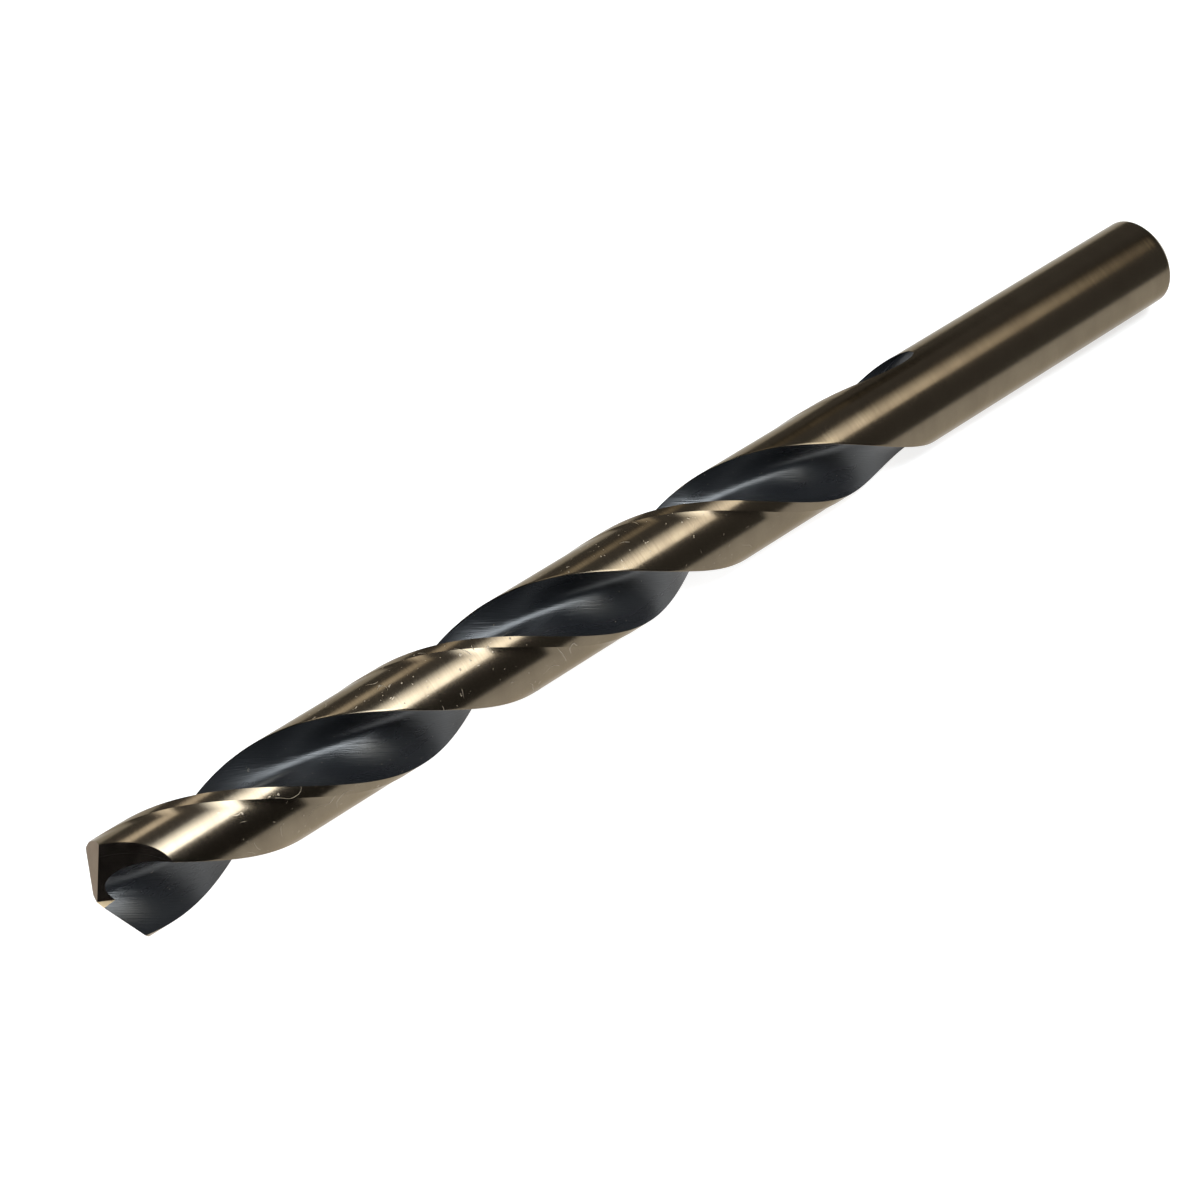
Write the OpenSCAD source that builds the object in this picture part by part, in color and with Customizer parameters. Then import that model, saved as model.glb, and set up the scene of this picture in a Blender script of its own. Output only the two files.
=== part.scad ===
// Jobber-length twist drill with two right-hand flutes and a split point.
// The drill lies along X: the shank end is at the origin and the point is at +X.
// It is one ground bar, drawn as the zones that a drill drawing names.
// The zones are closed solids that meet face to face.

/* [Drill] */
// Cutting diameter, over the margins
drill_d = 9.525; // [8:0.025:12]
// Overall length, from the shank end to the point
overall_len = 127; // [120:1:150]
// Length of the flutes with their run-out, from the point
flute_len = 95; // [75:1:105]
// Helix angle at the cutting diameter, in degrees
helix_angle = 30; // [24:1:36]
// Direction of the first lip about the axis at the point, in degrees from +Y towards +Z
lip_turn = 159.5; // [0:0.5:360]

/* [Shank] */
// Width of the 45 degree chamfer round the shank end
shank_chamfer = 0.8; // [0.3:0.1:1.5]

/* [Flutes] */
// Web thickness at the point
web_at_point = 1.6; // [1.2:0.1:2]
// Web thickness where the flutes start to run out
web_at_runout = 2.6; // [1.8:0.1:3]
// Part of the circumference that each flute opens at the point, in degrees
flute_open_point = 92; // [86:1:96]
// Part of the circumference that each flute opens at its shank end, in degrees
flute_open_shank = 79; // [72:1:84]
// Extra opening of each flute right at the point, in degrees
flute_flare = 8; // [0:1:12]
// Distance over which the extra opening fades away
flare_len = 12; // [6:1:20]
// Length over which the flutes rise to the surface at their shank end
runout_len = 14; // [10:1:20]
// Angle by which the flutes fall behind their helix as they run out, in degrees
runout_lag = 20; // [0:1:30]

/* [Lands] */
// Width of each margin, along the circumference
margin_w = 1.15; // [0.6:0.05:1.4]
// Depth of the body clearance behind the margins
body_clearance = 0.08; // [0.05:0.01:0.12]
// Length of the body clearance, from the point
clearance_len = 85; // [70:1:90]

/* [Point] */
// Included angle of the point, in degrees
point_angle = 135; // [125:1:140]
// Relief angle of the primary facets, in degrees
lip_relief = 14; // [10:1:18]
// Angle between the axis and the split facets, in degrees
split_lean = 36; // [32:1:42]
// Direction in which the split facets fall, in degrees behind their lip
split_turn = 111; // [106:1:116]
// Direction of the split walls from their lip, in degrees
split_wall_turn = 40; // [35:1:60]

/* [Hidden] */

drill_r = drill_d / 2;
half_turn = 180;
pitch = PI * drill_d / tan(helix_angle);
bronze = "#8a744e";
blue_black = "#23272c";

// Point geometry: u runs along the lip, v square to it in the cutting direction
lip_setback = 1 / tan(point_angle / 2);
relief_fall = tan(lip_relief) * sqrt(1 + pow(lip_setback, 2));
half_web_point = web_at_point / 2;
corner_u = sqrt(pow(drill_r, 2) - pow(half_web_point, 2));
corner_back = corner_u * lip_setback - half_web_point * relief_fall;
corner_turn = asin(half_web_point / drill_r);

// Primary facet: how far its normal leans from the axis, and towards what direction
primary_lean = atan(norm([lip_setback, relief_fall]));
primary_turn = atan2(-relief_fall, lip_setback);
// Distance of the split walls from the axis, which leaves a short chisel edge
chisel_half = 0.05;

// Thickness of the zone that holds the ground facets at the point
lip_zone = 0.2;
// Depth of a land zone in its middle, and of a margin zone at its foot
land_zone = 0.9;
margin_zone = 0.3;

// How far the gullet's curve runs straight from the heel and from the web, and the heel's slant
gullet_wall = 0.24 * drill_d;
gullet_reach = 0.12 * drill_d;
heel_slant = 16;

// Distance over which the body clearance runs out
clearance_fade = 5;

// Stations along the flutes, and points across one section
runout_start = flute_len - runout_len;
station_count = 80;
first_station = -0.4;
rake_steps = 4;
gullet_steps = 7;
land_steps = 9;
margin_steps = 2;
zone_steps = 4;
shank_fn = 96;
cutter_size = 4 * drill_d;

// Share of the flute depth that is left at a distance back from the point
function runout_share(back) = max(0, back - runout_start) / runout_len;
function depth_left(back) = 1 - pow(0.995 * runout_share(back), 2);
function width_left(back) = sqrt(depth_left(back));
// Turn by which the flutes fall behind their helix
function lag(back) = runout_lag * pow(runout_share(back), 2);
// Share of the body clearance that is left
function clearance_left(back) = min(1, max(0, clearance_len - back) / clearance_fade);

function half_web(back) =
    (web_at_point + (web_at_runout - web_at_point) * min(1, back / runout_start)) / 2;
function flute_open(back) =
    flute_open_point + (flute_open_shank - flute_open_point) * back / flute_len
    + flute_flare * exp(-max(0, back) / flare_len);
function land_r(back) = drill_r - body_clearance * clearance_left(back);
function margin_turn(back) = margin_w / drill_r * half_turn / PI;

// Direction of the first lip's leading edge about the axis
function lead_turn(back) =
    lip_turn + corner_turn + 360 * (corner_back - back) / pitch;

// A section is drawn in polar points [radius, degrees behind the leading edge].
function polar(p) = [norm(p), -atan2(p[1], p[0])];
function flat(p) = [p[0] * cos(p[1]), -p[0] * sin(p[1])];
function bezier(a, b, c, d, t) =
    pow(1 - t, 3) * a + 3 * pow(1 - t, 2) * t * b + 3 * (1 - t) * pow(t, 2) * c + pow(t, 3) * d;

// Rake face: the straight lip carried back along the helix, from the web out to the edge
function rake_u(back) = sqrt(pow(drill_r, 2) - pow(half_web(back), 2));
function rake_trail(back) =
    asin(half_web(back) / drill_r) + 360 * rake_u(back) * lip_setback / pitch;
function rake_point(back, share) =
    let(u = share * rake_u(back))
    [
        norm([u, half_web(back)]),
        half_turn + rake_trail(back) - atan2(half_web(back), u) - 360 * u * lip_setback / pitch
    ];

// Gullet: the round bottom and the back wall of the flute, from the heel in to the web
function heel_point(back) = [land_r(back), half_turn - flute_open(back)];
function gullet_point(back, share) =
    let(
        heel = flat(heel_point(back)),
        root = flat(rake_point(back, 0)),
        trail = rake_trail(back)
    )
    polar(bezier(
        heel,
        heel - flat([gullet_wall, half_turn - flute_open(back) + heel_slant]),
        root + flat([gullet_reach, trail]),
        root,
        share
    ));

function full_flute(back) = concat(
    [for (i = [1 : gullet_steps]) gullet_point(back, i / gullet_steps)],
    [for (i = [1 : rake_steps - 1]) rake_point(back, i / rake_steps)]
);

// In the run-out the flute closes in on its middle and rises to the surface
function flute_middle(back) = half_turn - flute_open(back) / 2;
function run_out(p, back) =
    [
        drill_r - (drill_r - p[0]) * depth_left(back),
        flute_middle(back) + (p[1] - flute_middle(back)) * width_left(back) - lag(back)
    ];
function edge_shift(back) = flute_open(back) / 2 * (1 - width_left(back));
function lead_edge(back) = -edge_shift(back) - lag(back);
function heel_edge(back) = half_turn - flute_open(back) + edge_shift(back) - lag(back);
function margin_edge(back) = lead_edge(back) + margin_turn(back);

// The curve under a margin and a land, where those zones meet the core
function zone_floor(back) = [
    for (i = [0 : zone_steps - 1])
        let(share = i / zone_steps)
        [
            land_r(back) - margin_zone * (1 - share) - land_zone * sin(half_turn * share),
            margin_edge(back) + (heel_edge(back) - margin_edge(back)) * share
        ]
];

function half_core(back) = concat(
    [[drill_r, lead_edge(back)]],
    zone_floor(back),
    [[land_r(back), heel_edge(back)]],
    [for (p = full_flute(back)) run_out(p, back)]
);
function core_section(back) = concat(
    half_core(back),
    [for (p = half_core(back)) [p[0], p[1] + half_turn]]
);
function land_section(back) = concat(
    [
        for (i = [0 : land_steps])
            [land_r(back), margin_edge(back) + (heel_edge(back) - margin_edge(back)) * i / land_steps]
    ],
    [for (i = [zone_steps - 1 : -1 : 0]) zone_floor(back)[i]]
);
function margin_section(back) = concat(
    [for (i = [0 : margin_steps]) [drill_r, lead_edge(back) + margin_turn(back) * i / margin_steps]],
    [zone_floor(back)[0]]
);

// Puts a polar section at its station, turned with the helix
function placed(section, back, turn) = [
    for (p = section)
        let(angle = lead_turn(back) - p[1] + turn)
        [overall_len - back, p[0] * cos(angle), p[0] * sin(angle)]
];
function station(i) = first_station + (flute_len - first_station) * i / station_count;

// Skins a list of rings into a closed solid; flip turns the diagonals over,
// so that two zones share the same triangles where they meet
module skin(rings, flip) {
    count = len(rings[0]);
    last = len(rings) - 1;
    points = [for (ring = rings) each ring];
    sides = [
        for (i = [0 : last - 1])
            for (j = [0 : count - 1])
                let(
                    a = i * count + j,
                    b = i * count + (j + 1) % count,
                    c = b + count,
                    d = a + count
                )
                each (flip ? [[a, d, b], [b, d, c]] : [[a, d, c], [a, c, b]])
    ];
    front = [for (j = [0 : count - 1]) j];
    rear = [for (j = [count - 1 : -1 : 0]) last * count + j];
    polyhedron(points, concat([front, rear], sides), convexity = 10);
}

module core_bar() {
    skin([for (i = [0 : station_count]) placed(core_section(station(i)), station(i), 0)], false);
}

module land_bar(turn) {
    skin([for (i = [0 : station_count]) placed(land_section(station(i)), station(i), turn)], true);
}

module margin_bar(turn) {
    skin([for (i = [0 : station_count]) placed(margin_section(station(i)), station(i), turn)], true);
}

// Frame at the point of one lip: X along the axis, Y along the lip, Z in the cutting direction
module at_lip(turn, back) {
    translate([overall_len - back, 0, 0])
        rotate([lip_turn + turn, 0, 0])
            children();
}

// Everything in front of a plane through the point
module ahead(lean, turn) {
    rotate([turn, 0, 0])
        rotate([0, 0, lean])
            translate([0, -cutter_size, -cutter_size])
                cube(2 * cutter_size);
}

// The side of the split line on which one lip lies
module beside_split(shift) {
    rotate([split_wall_turn, 0, 0])
        translate([-cutter_size, -cutter_size, shift - 2 * cutter_size])
            cube(2 * cutter_size);
}

// Metal that grinding takes off behind one lip: the primary facet and the split,
// both sunk by a depth below the finished surface
module ground_away(turn, sink) {
    at_lip(turn, sink) {
        ahead(primary_lean, primary_turn);
        intersection() {
            ahead(90 - split_lean, -split_turn);
            beside_split(sink - chisel_half);
        }
    }
}

module ground_point(sink) {
    difference() {
        children();
        ground_away(0, sink);
        ground_away(half_turn, sink);
    }
}

// One lip with its facets: a thin zone at the front of the core
module lip_solid(turn) {
    ground_point(0)
        intersection() {
            core_bar();
            union() {
                ground_away(0, lip_zone);
                ground_away(half_turn, lip_zone);
            }
            at_lip(turn, 0)
                beside_split(0);
        }
}

module shank() {
    color(bronze) {
        rotate([0, 90, 0])
            cylinder(h = shank_chamfer, r1 = drill_r - shank_chamfer, r2 = drill_r, $fn = shank_fn);
        translate([shank_chamfer, 0, 0])
            rotate([0, 90, 0])
                cylinder(h = overall_len - flute_len - shank_chamfer, r = drill_r, $fn = shank_fn);
    }
}

module fluted_core() {
    color(blue_black)
        ground_point(lip_zone) core_bar();
}

module land_a() {
    color(bronze)
        ground_point(0) land_bar(0);
}

module land_b() {
    color(bronze)
        ground_point(0) land_bar(half_turn);
}

module margin_a() {
    color(bronze)
        ground_point(0) margin_bar(0);
}

module margin_b() {
    color(bronze)
        ground_point(0) margin_bar(half_turn);
}

module lip_a() {
    color(bronze)
        lip_solid(0);
}

module lip_b() {
    color(bronze)
        lip_solid(half_turn);
}

shank();
fluted_core();
land_a();
land_b();
margin_a();
margin_b();
lip_a();
lip_b();
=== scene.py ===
import math

import bmesh
import bpy
import numpy as np
from mathutils import Matrix, Vector


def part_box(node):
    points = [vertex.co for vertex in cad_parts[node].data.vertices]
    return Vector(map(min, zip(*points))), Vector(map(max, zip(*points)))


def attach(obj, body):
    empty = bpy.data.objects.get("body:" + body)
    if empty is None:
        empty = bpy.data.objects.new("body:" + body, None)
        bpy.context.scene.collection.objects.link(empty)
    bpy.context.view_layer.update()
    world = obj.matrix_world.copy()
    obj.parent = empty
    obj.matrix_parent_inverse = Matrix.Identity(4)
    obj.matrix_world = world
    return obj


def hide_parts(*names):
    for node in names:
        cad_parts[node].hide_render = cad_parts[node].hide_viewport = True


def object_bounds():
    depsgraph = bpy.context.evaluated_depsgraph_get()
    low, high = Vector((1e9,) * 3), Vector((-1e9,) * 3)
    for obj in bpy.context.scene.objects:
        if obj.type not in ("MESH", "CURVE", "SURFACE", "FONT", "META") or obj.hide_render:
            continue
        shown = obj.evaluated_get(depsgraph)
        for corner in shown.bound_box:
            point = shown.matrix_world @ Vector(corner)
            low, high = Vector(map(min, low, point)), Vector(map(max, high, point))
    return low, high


MM = 0.001

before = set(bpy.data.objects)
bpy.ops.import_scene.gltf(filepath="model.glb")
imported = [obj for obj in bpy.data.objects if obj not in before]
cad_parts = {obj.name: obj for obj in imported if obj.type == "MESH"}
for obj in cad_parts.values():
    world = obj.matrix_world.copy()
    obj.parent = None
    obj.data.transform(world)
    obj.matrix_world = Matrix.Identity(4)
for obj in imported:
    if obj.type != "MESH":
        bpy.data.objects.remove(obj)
cad_low, cad_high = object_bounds()
shank_low, shank_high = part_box("shank")

# ---- The drill, in millimetres and degrees. The boxes of the CAD frame give its overall sizes. ----

DRILL_R = (shank_high.z - shank_low.z) / 2 / MM
OVERALL_LEN = (cad_high.x - cad_low.x) / MM
SHANK_LEN = (shank_high.x - shank_low.x) / MM
FLUTE_LEN = OVERALL_LEN - SHANK_LEN

HELIX_ANGLE = 30
PITCH = 2 * math.pi * DRILL_R / math.tan(math.radians(HELIX_ANGLE))
# Direction of the first lip about the axis at the point
LIP_TURN = 159.5

SHANK_CHAMFER = 0.8
CHAMFER_ROUND = 0.12

# The web's thickness, the part of the circumference that a flute opens, and its extra opening at the point
WEB_AT_POINT = 1.6
WEB_AT_RUNOUT = 2.6
FLUTE_OPEN_POINT = 92
FLUTE_OPEN_SHANK = 79
FLUTE_FLARE = 8
FLARE_LEN = 12

# How far the gullet's curve runs straight from the heel and from the web, and the heel's slant
GULLET_WALL = 0.48 * DRILL_R
GULLET_REACH = 0.24 * DRILL_R
HEEL_SLANT = 16

# The run-out: its length, the share of the depth that it takes away, and its turn behind the helix
RUNOUT_LEN = 14
RUNOUT_START = FLUTE_LEN - RUNOUT_LEN
RUNOUT_RISE = 0.995
RUNOUT_LAG = 20

# The margins, and the clearance behind them, which ends before the shank
MARGIN_W = 1.15
BODY_CLEARANCE = 0.08
CLEARANCE_LEN = 85
CLEARANCE_FADE = 5

# Depth of each zone below the surface
MARGIN_ZONE = 0.3
LAND_ZONE = 0.9
LIP_ZONE = 0.03

# The rounded heel, with its share of the gullet's curve, and the fillet at the foot of a margin
HEEL_ROUND = 0.07
HEEL_SHARE = 0.012
FILLET_W = 0.8
FILLET_RISE = 0.078

# The ground point
POINT_ANGLE = 135
LIP_RELIEF = 14
LIP_SETBACK = 1 / math.tan(math.radians(POINT_ANGLE / 2))
RELIEF_FALL = math.tan(math.radians(LIP_RELIEF)) * math.hypot(1, LIP_SETBACK)
SPLIT_LEAN = 36
SPLIT_TURN = 111
SPLIT_WALL_TURN = 40
CHISEL_HALF = 0.05

HALF_WEB_POINT = WEB_AT_POINT / 2
CORNER_U = math.sqrt(DRILL_R**2 - HALF_WEB_POINT**2)
CORNER_BACK = CORNER_U * LIP_SETBACK - HALF_WEB_POINT * RELIEF_FALL
CORNER_TURN = math.degrees(math.asin(HALF_WEB_POINT / DRILL_R))
PRIMARY_LEAN = math.degrees(math.atan(math.hypot(LIP_SETBACK, RELIEF_FALL)))
PRIMARY_TURN = math.degrees(math.atan2(-RELIEF_FALL, LIP_SETBACK))

# How finely the surfaces are drawn
RING_STEP = 0.25
FIRST_STATION = -0.4
GULLET_STEPS = 26
RAKE_STEPS = 14
LAND_STEPS = 30
FILLET_STEPS = 6
MARGIN_STEPS = 6
HEEL_STEPS = 3
ZONE_STEPS = 4
CHAMFER_STEPS = 4
SHANK_STEPS = 60
SHANK_SEGMENTS = 256

# Angles from which an edge is sharp: at the point, and on the outside
POINT_SHARP = 24
OUTER_SHARP = 32

# Points nearer than this become one, in metres
WELD = 0.0005 * MM
# A face lies on a plane if it is this parallel to it and this near to it, in metres
ON_PLANE_COSINE = 0.999
ON_PLANE_GAP = 0.004 * MM

CUTTER = 6 * DRILL_R
CUBE_FACES = [(0, 1, 3, 2), (4, 6, 7, 5), (0, 4, 5, 1), (2, 3, 7, 6), (0, 2, 6, 4), (1, 5, 7, 3)]

# ---- Sections of the fluted length, as polar points (radius, degrees behind the leading edge) ----


def runout_share(back):
    return max(0, back - RUNOUT_START) / RUNOUT_LEN


def depth_left(back):
    return 1 - (RUNOUT_RISE * runout_share(back)) ** 2


def width_left(back):
    return math.sqrt(depth_left(back))


def lag(back):
    """How far the flute has fallen behind its helix."""
    return RUNOUT_LAG * runout_share(back) ** 2


def half_web(back):
    return (WEB_AT_POINT + (WEB_AT_RUNOUT - WEB_AT_POINT) * min(1, back / RUNOUT_START)) / 2


def flute_open(back):
    flare = FLUTE_FLARE * math.exp(-max(0, back) / FLARE_LEN)
    return FLUTE_OPEN_POINT + (FLUTE_OPEN_SHANK - FLUTE_OPEN_POINT) * back / FLUTE_LEN + flare


def clearance_left(back):
    return min(1, max(0, CLEARANCE_LEN - back) / CLEARANCE_FADE)


def land_radius(back):
    return DRILL_R - BODY_CLEARANCE * clearance_left(back)


def lead_turn(back):
    """Direction of the first leading edge about the axis."""
    return LIP_TURN + CORNER_TURN + 360 * (CORNER_BACK - back) / PITCH


def arc_degrees(length):
    return math.degrees(length / DRILL_R)


def flat(point):
    angle = math.radians(point[1])
    return np.array((point[0] * math.cos(angle), -point[0] * math.sin(angle)))


def polar(point):
    return (math.hypot(*point), math.degrees(-math.atan2(point[1], point[0])))


def quadratic(a, b, c, t):
    return (1 - t) ** 2 * a + 2 * (1 - t) * t * b + t**2 * c


def cubic(a, b, c, d, t):
    return (1 - t) ** 3 * a + 3 * (1 - t) ** 2 * t * b + 3 * (1 - t) * t**2 * c + t**3 * d


def rake_reach(back):
    return math.sqrt(DRILL_R**2 - half_web(back) ** 2)


def rake_trail(back):
    web_turn = math.degrees(math.asin(half_web(back) / DRILL_R))
    return web_turn + 360 * rake_reach(back) * LIP_SETBACK / PITCH


def rake_point(back, share):
    """The rake face: the straight lip carried back along the helix."""
    u = share * rake_reach(back)
    web = half_web(back)
    turn = 180 + rake_trail(back) - math.degrees(math.atan2(web, u))
    return (math.hypot(u, web), turn - 360 * u * LIP_SETBACK / PITCH)


def gullet_point(back, share):
    """The flute's back wall and round bottom, from the heel in to the web."""
    heel_turn = 180 - flute_open(back)
    heel = flat((land_radius(back), heel_turn))
    root = flat(rake_point(back, 0))
    wall = flat((GULLET_WALL, heel_turn + HEEL_SLANT))
    reach = flat((GULLET_REACH, rake_trail(back)))
    return polar(cubic(heel, heel - wall, root + reach, root, share))


def run_out(point, back):
    """The point raised and moved to the flute's middle, as far as the run-out asks."""
    middle = 180 - flute_open(back) / 2
    radius = DRILL_R - (DRILL_R - point[0]) * depth_left(back)
    return (radius, middle + (point[1] - middle) * width_left(back) - lag(back))


def edge_shift(back):
    return flute_open(back) / 2 * (1 - width_left(back))


def lead_edge(back):
    return -edge_shift(back) - lag(back)


def heel_edge(back):
    return 180 - flute_open(back) + edge_shift(back) - lag(back)


def margin_edge(back):
    return lead_edge(back) + arc_degrees(MARGIN_W)


def heel_foot(back):
    """Where the rounded heel meets the wall of the gullet."""
    return run_out(gullet_point(back, HEEL_SHARE), back)


def heel_round(back):
    """The rounded heel, from the land over to the gullet."""
    start = flat((land_radius(back), heel_edge(back) - arc_degrees(HEEL_ROUND)))
    corner = flat((land_radius(back), heel_edge(back)))
    foot = flat(heel_foot(back))
    return [polar(quadratic(start, corner, foot, i / HEEL_STEPS)) for i in range(1, HEEL_STEPS + 1)]


def zone_floor(back):
    """The buried curve under a margin and a land."""
    points = []
    for i in range(ZONE_STEPS):
        share = i / ZONE_STEPS
        depth = MARGIN_ZONE * (1 - share) + LAND_ZONE * math.sin(math.pi * share)
        turn = margin_edge(back) + (heel_edge(back) - margin_edge(back)) * share
        points.append((land_radius(back) - depth, turn))
    return points


def half_core(back):
    shares = [HEEL_SHARE + (1 - HEEL_SHARE) * i / GULLET_STEPS for i in range(1, GULLET_STEPS + 1)]
    gullet = [gullet_point(back, share) for share in shares]
    rake = [rake_point(back, i / RAKE_STEPS) for i in range(1, RAKE_STEPS)]
    flute = [run_out(point, back) for point in gullet + rake]
    return [(DRILL_R, lead_edge(back))] + zone_floor(back) + [heel_foot(back)] + flute


def core_section(back):
    half = half_core(back)
    return half + [(radius, turn + 180) for radius, turn in half]


def land_section(back):
    start = margin_edge(back)
    fillet_end = start + arc_degrees(FILLET_W) * width_left(back)
    end = heel_edge(back) - arc_degrees(HEEL_ROUND)
    points = []
    for i in range(FILLET_STEPS):
        share = i / FILLET_STEPS
        rise = FILLET_RISE * clearance_left(back) * (1 - share) ** 2
        points.append((land_radius(back) + rise, start + (fillet_end - start) * share))
    for i in range(LAND_STEPS + 1):
        points.append((land_radius(back), fillet_end + (end - fillet_end) * i / LAND_STEPS))
    return points + heel_round(back) + zone_floor(back)[::-1]


def margin_section(back):
    width = arc_degrees(MARGIN_W)
    top = [(DRILL_R, lead_edge(back) + width * i / MARGIN_STEPS) for i in range(MARGIN_STEPS + 1)]
    return top + [zone_floor(back)[0]]


def placed(section, back, turn):
    """The section's points in the frame, in millimetres, turned with the helix."""
    radius = np.array([point[0] for point in section])
    angle = np.radians(lead_turn(back) + turn - np.array([point[1] for point in section]))
    along = np.full(len(section), OVERALL_LEN - back)
    return np.stack((along, radius * np.cos(angle), radius * np.sin(angle)), axis=1)


# ---- Meshes ----


def mesh_object(name, points, faces):
    """An object from points in millimetres."""
    mesh = bpy.data.meshes.new(name)
    mesh.from_pydata([tuple(point) for point in np.asarray(points) * MM], [], faces)
    mesh.update()
    made = bpy.data.objects.new(name, mesh)
    bpy.context.scene.collection.objects.link(made)
    return made


def skin(name, section, turn):
    """A closed solid swept along the helix through its sections."""
    count = math.ceil((FLUTE_LEN - FIRST_STATION) / RING_STEP)
    stations = [FIRST_STATION + (FLUTE_LEN - FIRST_STATION) * i / count for i in range(count + 1)]
    rings = [placed(section(back), back, turn) for back in stations]
    size = len(rings[0])
    faces = []
    for i in range(count):
        for j in range(size):
            a = i * size + j
            b = i * size + (j + 1) % size
            faces.append((a, a + size, b + size, b))
    faces.append(tuple(range(size)))
    faces.append(tuple(count * size + j for j in reversed(range(size))))
    return mesh_object(name, np.concatenate(rings), faces)


def turned(angle, axis):
    return Matrix.Rotation(math.radians(angle), 4, axis)


def at_lip(turn, sink):
    """The frame of one lip: X along the axis, Y along the lip, Z in the cutting direction."""
    return Matrix.Translation((OVERALL_LEN - sink, 0, 0)) @ turned(LIP_TURN + turn, "X")


def primary_place(turn, sink):
    """A frame whose +X side is the metal that one primary facet's grinding takes off."""
    return at_lip(turn, sink) @ turned(PRIMARY_TURN, "X") @ turned(PRIMARY_LEAN, "Z")


def split_place(turn, sink):
    """A frame whose +X side is the metal that one split facet's grinding takes off."""
    return at_lip(turn, sink) @ turned(-SPLIT_TURN, "X") @ turned(90 - SPLIT_LEAN, "Z")


def wall_place(turn, sink):
    """A frame whose Z points away from one split wall."""
    return at_lip(turn, sink) @ turned(SPLIT_WALL_TURN, "X")


def cutter(low, high, place):
    corners = [
        place @ Vector((x, y, z))
        for x in (low[0], high[0])
        for y in (low[1], high[1])
        for z in (low[2], high[2])
    ]
    return mesh_object("cutter", [tuple(corner) for corner in corners], CUBE_FACES)


def primary_cutter(turn, sink):
    return cutter((0, -CUTTER, -CUTTER), (CUTTER, CUTTER, CUTTER), primary_place(turn, sink))


def side_cutter(turn, sink, shift):
    """The side of the split line on which one lip lies."""
    return cutter((-CUTTER, -CUTTER, shift - CUTTER), (CUTTER, CUTTER, shift), wall_place(turn, sink))


def split_cutter(turn, sink):
    made = cutter((0, -CUTTER, -CUTTER), (CUTTER, CUTTER, CUTTER), split_place(turn, sink))
    combine(made, side_cutter(turn, sink, sink - CHISEL_HALF), "INTERSECT")
    return made


def combine(target, tool, operation, solver="MANIFOLD"):
    """Joins, cuts or intersects target with tool, and removes tool."""
    modifier = target.modifiers.new("combine", "BOOLEAN")
    modifier.operation = operation
    modifier.solver = solver
    modifier.object = tool
    bpy.context.view_layer.update()
    evaluated = target.evaluated_get(bpy.context.evaluated_depsgraph_get())
    mesh = bpy.data.meshes.new_from_object(evaluated)
    target.modifiers.clear()
    old = target.data
    target.data = mesh
    mesh.name = target.name
    bpy.data.meshes.remove(old)
    bpy.data.objects.remove(tool)


def grind(piece, sink, solver="MANIFOLD"):
    """Takes off what lies above the point's facets, which are sunk along the axis."""
    for turn in (0, 180):
        combine(piece, primary_cutter(turn, sink), "DIFFERENCE", solver)
        combine(piece, split_cutter(turn, sink), "DIFFERENCE", solver)


def ground_away(sink):
    """All that the grinding takes off, as one solid."""
    made = primary_cutter(0, sink)
    combine(made, primary_cutter(180, sink), "UNION")
    combine(made, split_cutter(0, sink), "UNION")
    combine(made, split_cutter(180, sink), "UNION")
    return made


def facet_planes():
    """A point and a normal for each primary and split facet."""
    places = [place(turn, 0) for turn in (0, 180) for place in (primary_place, split_place)]
    return [(place.translation * MM, place.to_3x3() @ Vector((1, 0, 0))) for place in places]


def wall_planes():
    """A point and a normal for each split wall."""
    places = [wall_place(turn, 0) for turn in (0, 180)]
    on_wall = Vector((0, 0, -CHISEL_HALF))
    return [(place @ on_wall * MM, place.to_3x3() @ Vector((0, 0, 1))) for place in places]


def mark_faces(piece, planes, index):
    """Gives the faces that lie on any of the planes the material at that index."""
    for face in piece.data.polygons:
        for point, normal in planes:
            parallel = abs(face.normal.dot(normal)) > ON_PLANE_COSINE
            if parallel and abs((face.center - point).dot(normal)) < ON_PLANE_GAP:
                face.material_index = index


def finish_piece(piece, sharp_angle, materials, node):
    """Cleans and shades a piece, and hides the CAD node that it stands for."""
    shape = bmesh.new()
    shape.from_mesh(piece.data)
    bmesh.ops.triangulate(shape, faces=shape.faces)
    bmesh.ops.remove_doubles(shape, verts=shape.verts, dist=WELD)
    bmesh.ops.dissolve_degenerate(shape, edges=shape.edges, dist=WELD)
    bmesh.ops.recalc_face_normals(shape, faces=shape.faces)
    for face in shape.faces:
        face.smooth = True
        face.material_index = 0
    shape.to_mesh(piece.data)
    shape.free()
    piece.data.set_sharp_from_angle(angle=math.radians(sharp_angle))
    piece.data.materials.clear()
    for material in materials:
        piece.data.materials.append(material)
    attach(piece, "root")
    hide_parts(node)


# ---- Materials. Lengths are in metres, and noise scales are in cells per metre. ----

BRONZE_TONES = ((0.142, 0.115, 0.081), (0.118, 0.094, 0.066))
BRONZE_EDGE = (0.7, 0.66, 0.6, 1)
LAND_POLISH = (0.13, 0.20)
SHANK_POLISH = (0.14, 0.21)
LAND_DUST = 0.9
SHANK_DUST = 0.2
TURNING_LINES = (5500, 260, 260)
OXIDE_PATCHES = (420, 160, 160)
TURNING_DEPTH = 0.000007
BRUSHING = 0.6

# Dust: specks and curled fibres, which lie thickest round one place along the drill
DUST_COLOUR = (0.27, 0.23, 0.18)
DUST_HEIGHT = 0.000012
DUST_ROUGHNESS = 0.4
DUST_SPECKS = 1900
FIBRE_CURLS = 330
FIBRE_PATCHES = 420
DUST_CENTRE = 0.085
DUST_FADE = (0.012, 0.035, 1, 0.1)

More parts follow.
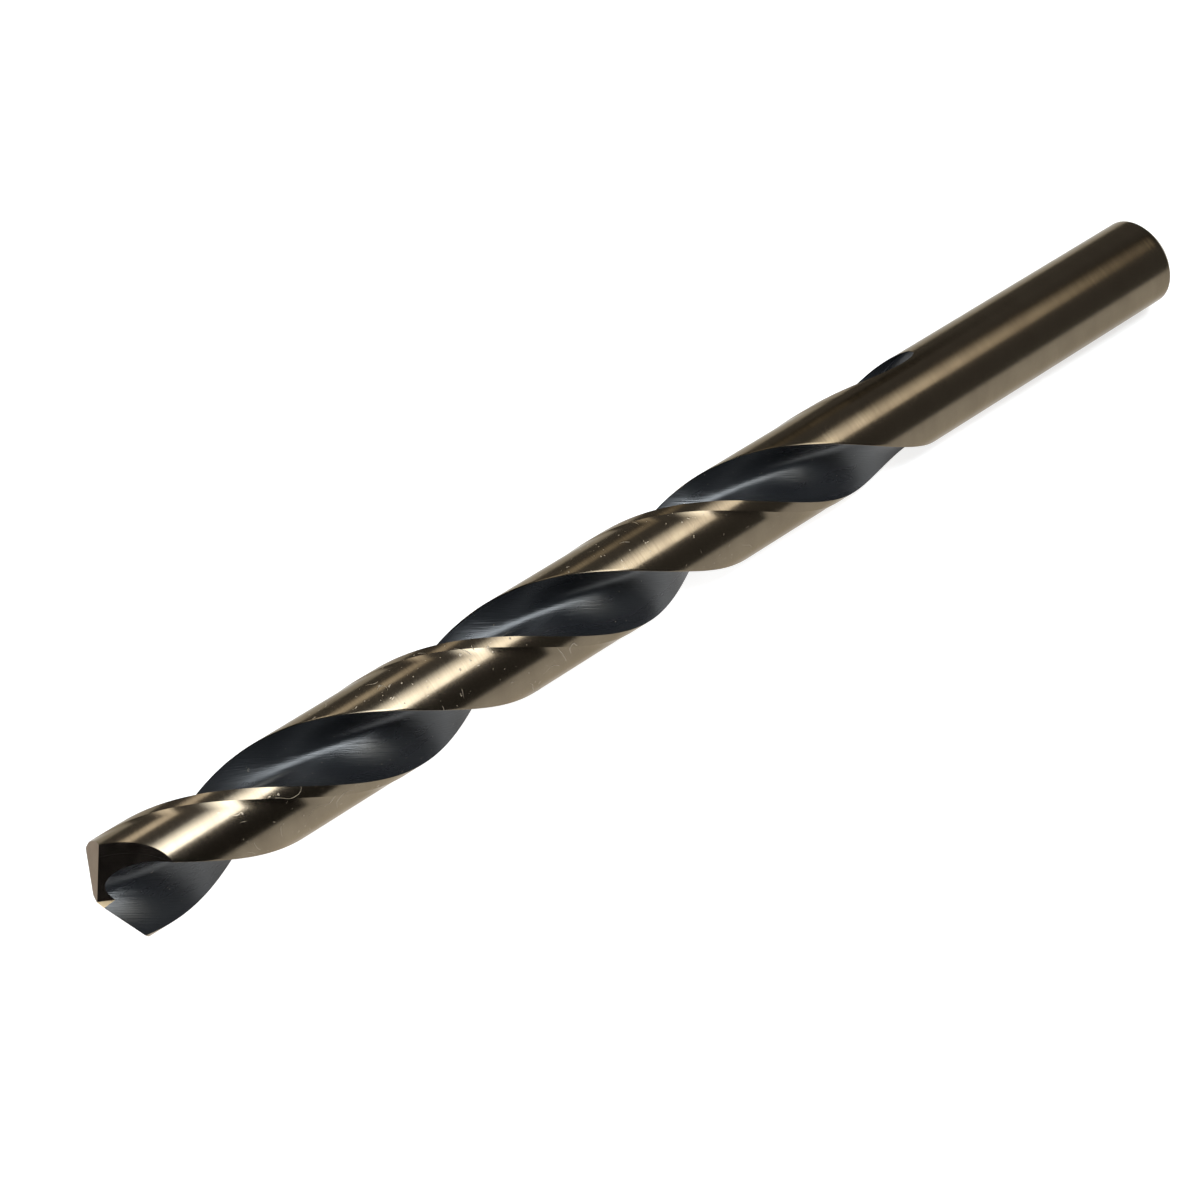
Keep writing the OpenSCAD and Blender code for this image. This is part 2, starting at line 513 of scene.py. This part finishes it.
BLACK_TONES = ((0.0064, 0.0070, 0.0082), (0.0105, 0.0113, 0.0130))
BLACK_POLISH = (0.25, 0.33)
BLACK_IOR = 1.46
BLACK_PATCHES = (120, 500, 500)
FLUTE_SPECKS = 2600
MARK_STEP = 0.28 * MM
MARK_SLANT = 2.5
MARK_BREAKS = 350
MARK_DEPTH = 0.000020

GROUND_TONES = ((0.150, 0.125, 0.105), (0.125, 0.100, 0.083))
GROUND_POLISH = (0.16, 0.24)
STEEL_TONES = ((0.85, 0.72, 0.50), (0.75, 0.62, 0.42))
STEEL_POLISH = (0.4, 0.5)
# Edge tint of the point's metal: a real dimming of grazing reflections, set lower as painted shade for the
# table's missing shadow under the tip
POINT_EDGE_TINT_AND_SHADE = (0.62, 0.56, 0.5, 1)
GRINDER_LINES = (700, 5200, 700)
POINT_PATCHES = 600
GRINDER_DEPTH = 0.0000005

# Sockets of the mix node in its colour form
MIX_A = 6
MIX_B = 7
MIX_RESULT = 2


def new_material(name):
    """A material, its node tree and its shader."""
    material = bpy.data.materials.new(name)
    material.use_nodes = True
    return material, material.node_tree, material.node_tree.nodes["Principled BSDF"]


def object_place(tree):
    return tree.nodes.new("ShaderNodeTexCoord").outputs["Object"]


def axes(tree, vector):
    """The X, Y and Z of a vector."""
    node = tree.nodes.new("ShaderNodeSeparateXYZ")
    tree.links.new(vector, node.inputs["Vector"])
    return node.outputs["X"], node.outputs["Y"], node.outputs["Z"]


def noise(tree, vector, scale, detail=2.0, roughness=0.5):
    """Noise from 0 to 1; the scale is one number or one for each axis."""
    stretch = tree.nodes.new("ShaderNodeVectorMath")
    stretch.operation = "MULTIPLY"
    tree.links.new(vector, stretch.inputs[0])
    stretch.inputs[1].default_value = scale if isinstance(scale, tuple) else (scale, scale, scale)
    node = tree.nodes.new("ShaderNodeTexNoise")
    tree.links.new(stretch.outputs["Vector"], node.inputs["Vector"])
    node.inputs["Scale"].default_value = 1
    node.inputs["Detail"].default_value = detail
    node.inputs["Roughness"].default_value = roughness
    return node.outputs["Fac"]


def remap(tree, value, low, high, new_low, new_high):
    """The value's range from low to high, spread over another range and held at its ends."""
    node = tree.nodes.new("ShaderNodeMapRange")
    tree.links.new(value, node.inputs["Value"])
    node.inputs["From Min"].default_value = low
    node.inputs["From Max"].default_value = high
    node.inputs["To Min"].default_value = new_low
    node.inputs["To Max"].default_value = new_high
    return node.outputs["Result"]


def calculated(tree, operation, *values):
    """A math node's result; each value is a number or another node's output."""
    node = tree.nodes.new("ShaderNodeMath")
    node.operation = operation
    for socket, value in zip(node.inputs, values):
        if isinstance(value, (int, float)):
            socket.default_value = value
        else:
            tree.links.new(value, socket)
    return node.outputs["Value"]


def product(tree, first, *others):
    for other in others:
        first = calculated(tree, "MULTIPLY", first, other)
    return first


def blended(tree, factor, first, second):
    """A blend of two colours; each is a tuple or another node's output."""
    node = tree.nodes.new("ShaderNodeMix")
    node.data_type = "RGBA"
    tree.links.new(factor, node.inputs["Factor"])
    for index, colour in ((MIX_A, first), (MIX_B, second)):
        if isinstance(colour, tuple):
            node.inputs[index].default_value = (*colour, 1)
        else:
            tree.links.new(colour, node.inputs[index])
    return node.outputs[MIX_RESULT]


def bump(tree, height, depth, below=None):
    node = tree.nodes.new("ShaderNodeBump")
    node.inputs["Distance"].default_value = depth
    tree.links.new(height, node.inputs["Height"])
    if below is not None:
        tree.links.new(below, node.inputs["Normal"])
    return node.outputs["Normal"]


def round_tangent(tree):
    """The direction round the drill's axis."""
    node = tree.nodes.new("ShaderNodeTangent")
    node.direction_type = "RADIAL"
    node.axis = "X"
    return node.outputs["Tangent"]


def dust(tree, place):
    """A mask of small specks and a few curled fibres."""
    specks = remap(tree, noise(tree, place, DUST_SPECKS, 2, 0.6), 0.68, 0.73, 0, 1)
    curls = calculated(tree, "SUBTRACT", noise(tree, place, FIBRE_CURLS, 1, 0.4), 0.5)
    thread = remap(tree, calculated(tree, "ABSOLUTE", curls), 0.002, 0.005, 1, 0)
    patches = remap(tree, noise(tree, place, FIBRE_PATCHES, 0), 0.64, 0.68, 0, 1)
    grime = calculated(tree, "MAXIMUM", specks, product(tree, thread, patches))
    apart = calculated(tree, "SUBTRACT", axes(tree, place)[0], DUST_CENTRE)
    return product(tree, grime, remap(tree, calculated(tree, "ABSOLUTE", apart), *DUST_FADE))


def bronze_material(name, polish, dustiness):
    """Bronze oxide over steel that was ground round the axis."""
    material, tree, shader = new_material(name)
    place = object_place(tree)
    lines = noise(tree, place, TURNING_LINES, 3, 0.6)
    broad = noise(tree, place, OXIDE_PATCHES, 3, 0.55)
    grime = product(tree, dust(tree, place), dustiness)
    tint = blended(tree, remap(tree, broad, 0.3, 0.7, 0, 1), *BRONZE_TONES)
    tree.links.new(blended(tree, grime, tint, DUST_COLOUR), shader.inputs["Base Color"])
    worn = remap(tree, calculated(tree, "ADD", lines, broad), 0.6, 1.4, *polish)
    rough = calculated(tree, "ADD", worn, product(tree, grime, DUST_ROUGHNESS))
    tree.links.new(rough, shader.inputs["Roughness"])
    ground = bump(tree, lines, TURNING_DEPTH)
    tree.links.new(bump(tree, grime, DUST_HEIGHT, ground), shader.inputs["Normal"])
    tree.links.new(round_tangent(tree), shader.inputs["Tangent"])
    shader.inputs["Metallic"].default_value = 1
    shader.inputs["Anisotropic"].default_value = BRUSHING
    shader.inputs["Specular Tint"].default_value = BRONZE_EDGE
    return material


def helix_place(tree, place):
    """Object coordinates turned back along the helix: Y points out through the flute's middle."""
    flute_turn = lead_turn(OVERALL_LEN) - 180 + flute_open(FLUTE_LEN / 2) / 2
    along = product(tree, axes(tree, place)[0], -2 * math.pi / (PITCH * MM))
    node = tree.nodes.new("ShaderNodeVectorRotate")
    node.rotation_type = "X_AXIS"
    tree.links.new(place, node.inputs["Vector"])
    tree.links.new(calculated(tree, "SUBTRACT", along, math.radians(flute_turn)), node.inputs["Angle"])
    return node.outputs["Vector"]


def wheel_marks(tree, helix):
    """Marks of the grinding wheel, which lie steeper across the flute than its own helix."""
    along, out, across = axes(tree, helix)
    shifted = product(tree, across, calculated(tree, "SIGN", out), -MARK_SLANT)
    step = tree.nodes.new("ShaderNodeCombineXYZ")
    tree.links.new(calculated(tree, "ADD", along, shifted), step.inputs["X"])
    tree.links.new(along, step.inputs["Y"])
    return noise(tree, step.outputs["Vector"], (1.5 / MARK_STEP, MARK_BREAKS, 1), 1)


def flute_material():
    """Blue-black oxide over the marks of the grinding wheel, with a few specks of dust."""
    material, tree, shader = new_material("blue_black_oxide")
    place = object_place(tree)
    helix = helix_place(tree, place)
    broad = noise(tree, helix, BLACK_PATCHES, 3)
    specks = remap(tree, noise(tree, place, FLUTE_SPECKS, 2, 0.6), 0.72, 0.77, 0, 0.35)
    tint = blended(tree, broad, *BLACK_TONES)
    tree.links.new(blended(tree, specks, tint, DUST_COLOUR), shader.inputs["Base Color"])
    tree.links.new(remap(tree, broad, 0.3, 0.7, *BLACK_POLISH), shader.inputs["Roughness"])
    tree.links.new(bump(tree, wheel_marks(tree, helix), MARK_DEPTH), shader.inputs["Normal"])
    shader.inputs["IOR"].default_value = BLACK_IOR
    return material


def point_material(name, tones, polish):
    """Straight marks of the point grinder over the oxide or the bare steel."""
    material, tree, shader = new_material(name)
    place = object_place(tree)
    lines = noise(tree, place, GRINDER_LINES)
    broad = noise(tree, place, POINT_PATCHES, 3)
    tree.links.new(blended(tree, broad, *tones), shader.inputs["Base Color"])
    tree.links.new(remap(tree, broad, 0.3, 0.7, *polish), shader.inputs["Roughness"])
    tree.links.new(bump(tree, lines, GRINDER_DEPTH), shader.inputs["Normal"])
    shader.inputs["Metallic"].default_value = 1
    # The edge tint darkens grazing reflections, partly as painted shade for the shadow under the tip
    shader.inputs["Specular Tint"].default_value = POINT_EDGE_TINT_AND_SHADE
    return material


bronze_lands = bronze_material("bronze_lands", LAND_POLISH, LAND_DUST)
bronze_shank = bronze_material("bronze_shank", SHANK_POLISH, SHANK_DUST)
black_flutes = flute_material()
ground_point = point_material("ground_point", GROUND_TONES, GROUND_POLISH)
bare_steel = point_material("bare_steel", STEEL_TONES, STEEL_POLISH)

# ---- The object ----


def build_core():
    piece = skin("fluted_core_skin", core_section, 0)
    grind(piece, LIP_ZONE, "EXACT")
    finish_piece(piece, POINT_SHARP, [black_flutes], "fluted_core")


def build_lip(name, turn):
    """One lip: a thin layer over its half of the point, with its facets and split wall."""
    piece = skin(name + "_facets", core_section, 0)
    combine(piece, ground_away(LIP_ZONE), "INTERSECT")
    combine(piece, side_cutter(turn, 0, 0), "INTERSECT")
    grind(piece, 0)
    finish_piece(piece, POINT_SHARP, [black_flutes, ground_point, bare_steel], name)
    mark_faces(piece, facet_planes(), 1)
    mark_faces(piece, wall_planes(), 2)


def build_outside(name, section, turn):
    """A land or a margin, ground off by the point's facets."""
    piece = skin(name + "_skin", section, turn)
    grind(piece, 0)
    finish_piece(piece, OUTER_SHARP, [bronze_lands, ground_point], name)
    mark_faces(piece, facet_planes(), 1)


def shank_outline():
    """Radius and distance from the shank end, with the chamfer's two edges rounded."""
    face_r = DRILL_R - SHANK_CHAMFER
    corners = [((face_r, 0), (-1, 0), (1, 1)), ((DRILL_R, SHANK_CHAMFER), (-1, -1), (0, 1))]
    points = [(0.0, 0.0), (face_r / 2, 0.0)]
    for corner, before, after in corners:
        middle = np.array(corner)
        start = middle + CHAMFER_ROUND * np.array(before)
        end = middle + CHAMFER_ROUND * np.array(after)
        for i in range(CHAMFER_STEPS + 1):
            points.append(tuple(quadratic(start, middle, end, i / CHAMFER_STEPS)))
    begin = points[-1][1]
    for i in range(1, SHANK_STEPS + 1):
        points.append((DRILL_R, begin + (SHANK_LEN - begin) * i / SHANK_STEPS))
    return points + [(0.0, SHANK_LEN)]


def build_shank():
    outline = shank_outline()
    points = [(outline[0][1], 0, 0)]
    for radius, along in outline[1:-1]:
        for j in range(SHANK_SEGMENTS):
            angle = 2 * math.pi * j / SHANK_SEGMENTS
            points.append((along, radius * math.cos(angle), radius * math.sin(angle)))
    points.append((outline[-1][1], 0, 0))
    rings = len(outline) - 2
    last_ring = 1 + (rings - 1) * SHANK_SEGMENTS
    faces = []
    for j in range(SHANK_SEGMENTS):
        k = (j + 1) % SHANK_SEGMENTS
        faces.append((0, 1 + k, 1 + j))
        for i in range(rings - 1):
            a = 1 + i * SHANK_SEGMENTS
            faces.append((a + j, a + k, a + SHANK_SEGMENTS + k, a + SHANK_SEGMENTS + j))
        faces.append((last_ring + j, last_ring + k, len(points) - 1))
    piece = mesh_object("shank_skin", points, faces)
    finish_piece(piece, OUTER_SHARP, [bronze_shank], "shank")


build_shank()
build_core()
build_outside("land_a", land_section, 0)
build_outside("land_b", land_section, 180)
build_outside("margin_a", margin_section, 0)
build_outside("margin_b", margin_section, 180)
build_lip("lip_a", 0)
build_lip("lip_b", 180)

# ---- Stage, in metres. A fade is a range of places, and the values at its two ends. ----

CAMERA_TARGET = Vector((0.0740, 0.0007, 0.0))
CAMERA_AZIMUTH = math.radians(142.0)
CAMERA_ELEVATION = math.radians(52.33)
CAMERA_DISTANCE = 0.19308
CAMERA_SENSOR = 36
CAMERA_LENS = 62.02

# The light table: its even glow, the extra glow right beside the drill, and where its glow fades and its
# colour darkens as painted shade
FLOOR_HALF = 1.5
TABLE_GLOW = 0.62
TABLE_COLOUR = (1, 0.995, 0.985, 1)
TABLE_TONES = ((0.3, 0.3, 0.3), (0.5, 0.5, 0.5))
TABLE_GRAIN = 900
TABLE_GRAIN_DEPTH = 0.00002
BESIDE_FADE = (0.026, 0.002, 0, 0.7)
UNDER_FADE = (-0.008, 0.004, 0, 1)
POINT_FADE = (-0.06, 0.06, 0.15, 1)
FRONT_FADE = (0.05, 0.16, 1, 0.3)
BACK_FADE = (-0.6, -0.13, 0.4, 1)
END_FADE = (0.16, 0.7, 1, 0.4)

# The two soft panels: corners in their own plane, distance from the axis, and elevation in degrees
WARM = (1, 0.88, 0.64)
PANEL_FADE_POWER = 1.6
KEY_STRENGTH = 13.5
KEY_COLOURS = (WARM, (0.97, 1.05, 1.12))
KEY_ALONG = (-0.6, 0.0)
KEY_ACROSS = (-0.16, 0.14)
KEY_CORNERS = ((-0.6, -0.16), (0.32, 0.288))
KEY_DISTANCE = 0.62
KEY_ELEVATION = 90
BACK_STRENGTH = 4.8
BACK_COLOURS = (WARM, (1, 0.98, 0.92))
BACK_ALONG = (-0.5, 0.1)
BACK_ACROSS = (-0.17, -0.02)
BACK_CORNERS = ((-0.5, -0.17), (0.5, 0.12))
BACK_DISTANCE = 0.8
BACK_ELEVATION = 141

# The dim room, by the direction's Y and X: brighter behind, and past the shank on the camera's side
ROOM_BACK_FADE = (-0.5, 0.1, 0.22, 0.02)
ROOM_END_FADE = (-0.6, -0.1, 0.17, 0)
ROOM_END_SIDE = (-0.3, 0.2, 0, 1)


def build_camera():
    lens = bpy.data.cameras.new("camera")
    lens.sensor_width = CAMERA_SENSOR
    lens.lens = CAMERA_LENS
    lens.clip_start = 0.01
    lens.clip_end = 10
    camera = bpy.data.objects.new("camera", lens)
    bpy.context.scene.collection.objects.link(camera)
    level = math.cos(CAMERA_ELEVATION)
    away_x = math.sin(CAMERA_AZIMUTH) * level
    away_y = -math.cos(CAMERA_AZIMUTH) * level
    away = Vector((away_x, away_y, math.sin(CAMERA_ELEVATION)))
    camera.location = CAMERA_TARGET + CAMERA_DISTANCE * away
    camera.rotation_mode = "QUATERNION"
    camera.rotation_quaternion = (-away).to_track_quat("-Z", "Y")
    bpy.context.scene.camera = camera


def floor_material():
    """A white light table that glows, brightest beside the drill; beyond the picture its glow fades and
    its colour darkens, which is painted shade.
    """
    material, tree, shader = new_material("light_table")
    place = object_place(tree)
    x, y, _ = axes(tree, place)
    beside = product(tree, remap(tree, y, *BESIDE_FADE), remap(tree, y, *UNDER_FADE))
    glow = calculated(tree, "ADD", product(tree, beside, remap(tree, x, *POINT_FADE)), TABLE_GLOW)
    ends = remap(tree, calculated(tree, "ABSOLUTE", x), *END_FADE)
    edge = product(tree, remap(tree, y, *FRONT_FADE), remap(tree, y, *BACK_FADE), ends)
    tree.links.new(product(tree, glow, edge), shader.inputs["Emission Strength"])
    grain = noise(tree, place, TABLE_GRAIN)
    # Painted shade: the table's colour darkens with the glow's fade, away from the drill, over its fine
    # grain
    grain_and_painted_shade = product(tree, edge, remap(tree, grain, 0.3, 0.7, 0.94, 1))
    tree.links.new(blended(tree, grain_and_painted_shade, *TABLE_TONES), shader.inputs["Base Color"])
    tree.links.new(bump(tree, grain, TABLE_GRAIN_DEPTH), shader.inputs["Normal"])
    shader.inputs["Emission Color"].default_value = TABLE_COLOUR
    shader.inputs["Roughness"].default_value = 0.9
    shader.inputs["Specular IOR Level"].default_value = 0.1
    return material


def build_floor():
    mesh = bpy.data.meshes.new("floor")
    shape = bmesh.new()
    bmesh.ops.create_grid(shape, x_segments=8, y_segments=8, size=FLOOR_HALF)
    shape.to_mesh(mesh)
    shape.free()
    floor = bpy.data.objects.new("floor", mesh)
    floor.location = ((cad_low.x + cad_high.x) / 2, 0, cad_low.z)
    bpy.context.scene.collection.objects.link(floor)
    mesh.materials.append(floor_material())


def panel_material(name, strength, colours, along_range, across_range):
    """A soft panel whose light grows along its length and across its width."""
    material = bpy.data.materials.new(name)
    material.use_nodes = True
    tree = material.node_tree
    tree.nodes.clear()
    output = tree.nodes.new("ShaderNodeOutputMaterial")
    emission = tree.nodes.new("ShaderNodeEmission")
    x, y, _ = axes(tree, object_place(tree))
    along = remap(tree, x, *along_range, 0, 1)
    across = remap(tree, y, *across_range, 0, 1)
    grown = calculated(tree, "POWER", along, PANEL_FADE_POWER)
    tree.links.new(product(tree, across, grown, strength), emission.inputs["Strength"])
    tree.links.new(blended(tree, along, *colours), emission.inputs["Color"])
    tree.links.new(emission.outputs["Emission"], output.inputs["Surface"])
    return material


def build_panel(name, corners, distance, elevation, material):
    """A panel at that distance from the drill's axis, facing it."""
    low, high = corners
    points = [(low[0], low[1], 0), (low[0], high[1], 0), (high[0], high[1], 0), (high[0], low[1], 0)]
    mesh = bpy.data.meshes.new(name)
    mesh.from_pydata(points, [], [(0, 1, 2, 3)])
    panel = bpy.data.objects.new(name, mesh)
    tilt = math.radians(elevation - 90)
    panel.location = (0, -distance * math.sin(tilt), distance * math.cos(tilt))
    panel.rotation_euler = (tilt, 0, 0)
    bpy.context.scene.collection.objects.link(panel)
    mesh.materials.append(material)


def build_lights():
    key = panel_material("key_light", KEY_STRENGTH, KEY_COLOURS, KEY_ALONG, KEY_ACROSS)
    build_panel("key_panel", KEY_CORNERS, KEY_DISTANCE, KEY_ELEVATION, key)
    back = panel_material("back_light", BACK_STRENGTH, BACK_COLOURS, BACK_ALONG, BACK_ACROSS)
    build_panel("back_panel", BACK_CORNERS, BACK_DISTANCE, BACK_ELEVATION, back)


def build_world():
    world = bpy.data.worlds.new("room")
    world.use_nodes = True
    bpy.context.scene.world = world
    tree = world.node_tree
    background = tree.nodes["Background"]
    background.inputs["Color"].default_value = (1, 1, 1, 1)
    x, y, _ = axes(tree, tree.nodes.new("ShaderNodeTexCoord").outputs["Generated"])
    end = product(tree, remap(tree, x, *ROOM_END_FADE), remap(tree, y, *ROOM_END_SIDE))
    strength = calculated(tree, "ADD", remap(tree, y, *ROOM_BACK_FADE), end)
    tree.links.new(strength, background.inputs["Strength"])


build_camera()
build_floor()
build_lights()
build_world()
bpy.context.scene.view_settings.view_transform = "Standard"
